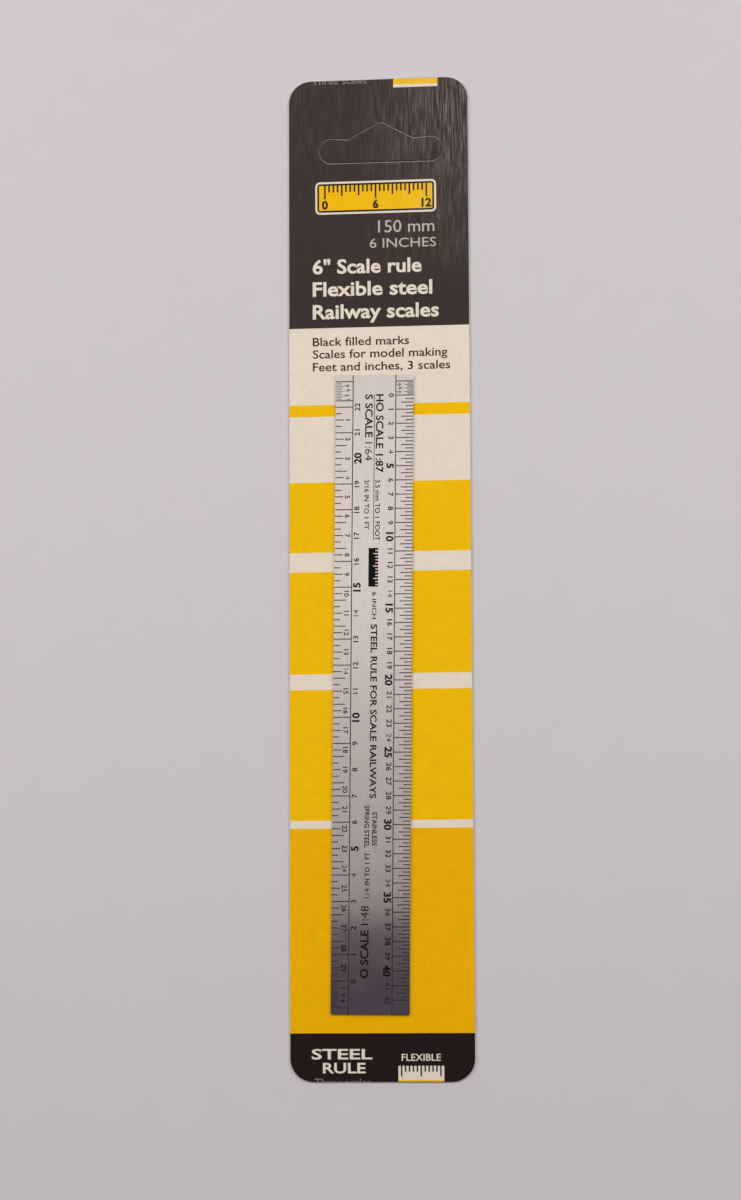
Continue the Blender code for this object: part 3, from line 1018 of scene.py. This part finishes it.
    def _sheet(self, name: str, node: str, body: str,
               finishes: tuple[bpy.types.Material, bpy.types.Material]) -> None:
        """Makes one film sheet that covers a CAD node's outline and replaces that node.

        Args:
            name: The piece's name.
            node: The film node whose outline it keeps.
            body: The body that it moves with.
            finishes: The film's material, and the duller one of its cut edge.
        """
        sheet = self._draped_grid(node)
        apply_modifier(sheet, "SOLIDIFY", thickness=self.thickness, offset=-1.0)
        outline = self._outline_cutter(node, self.tab_inset if body == "hang_tab" else 0.0)
        apply_modifier(sheet, "BOOLEAN", operation="INTERSECT", solver="EXACT", object=outline)
        bpy.data.objects.remove(outline, do_unlink=True)
        sheet.name = name
        sheet.data.name = name
        only(sheet)
        bpy.ops.object.shade_smooth_by_angle(angle=self.smooth_angle)
        sheet.data.materials.clear()
        for finish in finishes:
            sheet.data.materials.append(finish)
        for face in sheet.data.polygons:
            face.material_index = int(abs(face.normal.z) < self.edge_rise)
        if body == "film":
            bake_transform(sheet)
        else:
            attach(sheet, body)
        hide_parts(node)
        LOG.info("piece %s: %d faces", name, len(sheet.data.polygons))

    def _outline_cutter(self, node: str, inset: float) -> bpy.types.Object:
        """A tall prism with a CAD node's outline, made from a copy of its board below the film.

        Args:
            node: The film node.
            inset: How far the outline is drawn in, so that a folded tab's film clears the sheet.

        Returns:
            The prism.
        """
        board = {"skin_film": "backing_card", "hang_tab_film": "hang_tab"}[node]
        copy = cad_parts[board].copy()
        copy.data = copy.data.copy()
        copy.parent = None
        bpy.context.scene.collection.objects.link(copy)
        only(copy)
        bpy.ops.object.mode_set(mode="EDIT")
        bpy.ops.mesh.select_all(action="SELECT")
        bpy.ops.mesh.remove_doubles(threshold=WELD_DISTANCE)
        bpy.ops.mesh.normals_make_consistent(inside=False)
        bpy.ops.object.mode_set(mode="OBJECT")
        low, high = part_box(board)
        middle = Vector(((low.x + high.x) / 2, (low.y + high.y) / 2, low.z))
        shrink = [1 - 2 * inset / (high[i] - low[i]) for i in (0, 1)]
        copy.data.transform(Matrix.Translation((middle.x, middle.y, 0))
                            @ Matrix.Diagonal((*shrink, 10, 1)) @ Matrix.Translation(-middle))
        return copy


@dataclass
class Studio:
    """The table, the soft boxes over it and the camera."""

    camera_place: tuple[float, float, float] = (79.22 * MM, -98.35 * MM, 763.82 * MM)
    camera_turn: tuple[float, float, float] = (6.758, 6.133, -0.251)
    lens: float = 95.33
    table_size: float = 40.0
    table_gap: float = 0.02 * MM
    box_height: float = 1.35
    box_width: float = 2.2
    box_side: float = -0.1
    box_radiance: float = 1.06
    lamp_place: tuple[float, float, float] = (0.48, 0.18, 0.52)
    lamp_turn: tuple[float, float] = (-10.0, 43.0)
    lamp_size: float = 0.3
    lamp_watts: float = 1.75

    def build(self) -> None:
        """Makes the table, the light and the camera."""
        self._table()
        self._lights()
        self._camera()

    def _table(self) -> None:
        """A plain pale table top just under the card."""
        bpy.ops.object.select_all(action="DESELECT")
        bpy.ops.mesh.primitive_plane_add(size=self.table_size, location=(0, 0, -self.table_gap))
        table = bpy.context.object
        table.name = "table_top"
        settle(table)
        table.data.materials.append(TableLaminate().material())

    def _area(self, name: str, place: tuple[float, float, float],
              turn: tuple[float, float, float], size: tuple[float, float], watts: float,
              hex_colour: str) -> None:
        """Adds one soft box.

        Args:
            name: Its name.
            place: Where it hangs.
            turn: How it is turned, in degrees; unturned, it shines straight down.
            size: Its two sides.
            watts: Its power.
            hex_colour: The colour of its light.
        """
        light = bpy.data.lights.new(name, "AREA")
        light.shape = "RECTANGLE"
        light.size, light.size_y = size
        light.energy = watts
        light.color = linear(hex_colour)[:3]
        obj = bpy.data.objects.new(name, light)
        obj.location = place
        obj.rotation_euler = Euler([math.radians(v) for v in turn])
        obj.visible_camera = False
        bpy.context.scene.collection.objects.link(obj)

    def _lights(self) -> None:
        """A large soft box behind, whose near edge fades, two side lamps and a dim room."""
        # Where each strip of the box starts, and its share of the full brightness.
        strips = ((-0.057, 0.48), (-0.02, 0.56), (0.02, 0.64), (0.06, 0.76), (0.1, 0.9),
                  (0.14, 1.04), (0.3, 0.97), (1.25, 0.0))
        for i, ((start, share), (stop, _)) in enumerate(zip(strips, strips[1:])):
            watts = self.box_radiance * share * math.pi * self.box_width * (stop - start)
            self._area(f"top_box_{i}", (self.box_side, (start + stop) / 2, self.box_height),
                       (0, 0, 0), (self.box_width, stop - start), watts, "fffdfa")
        x, y, z = self.lamp_place
        tip, swing = self.lamp_turn
        for side in (-1, 1):
            self._area(f"side_lamp_{side}", (side * x, y, z), (tip, side * swing, 0),
                       (self.lamp_size, self.lamp_size), self.lamp_watts, "fffbfa")
        self._room()
        bpy.context.scene.view_settings.view_transform = "Standard"

    def _room(self) -> None:
        """A room that is pale at eye level and dim straight above."""
        world = bpy.data.worlds.new("pale_room")
        world.use_nodes = True
        tree = world.node_tree
        place = tree.nodes.new("ShaderNodeTexCoord")
        axes = tree.nodes.new("ShaderNodeSeparateXYZ")
        ramp = tree.nodes.new("ShaderNodeValToRGB")
        tree.links.new(place.outputs["Generated"], axes.inputs[0])
        tree.links.new(axes.outputs["Z"], ramp.inputs[0])
        tree.links.new(ramp.outputs[0], tree.nodes["Background"].inputs["Color"])
        level, above = ramp.color_ramp.elements
        level.color = linear("bdbabd")
        above.position, above.color = 0.85, linear("58525f")
        bpy.context.scene.world = world

    def _camera(self) -> None:
        """The camera, nearly straight above the card."""
        data = bpy.data.cameras.new("camera")
        data.lens = self.lens
        data.clip_start = 0.01
        data.clip_end = 20.0
        camera = bpy.data.objects.new("camera", data)
        camera.location = self.camera_place
        camera.rotation_euler = Euler([math.radians(v) for v in self.camera_turn], "XYZ")
        bpy.context.scene.collection.objects.link(camera)
        bpy.context.scene.camera = camera


def main() -> None:
    """Builds the card's print, the rule's marks, the film and the studio."""
    logging.basicConfig(level=logging.INFO, format="%(message)s")
    card = HangCard()
    card.build()
    rule = ScaleRule()
    rule.build()
    SkinFilm(rule, card).build()
    Studio().build()


if __name__ == "__main__":
    main()
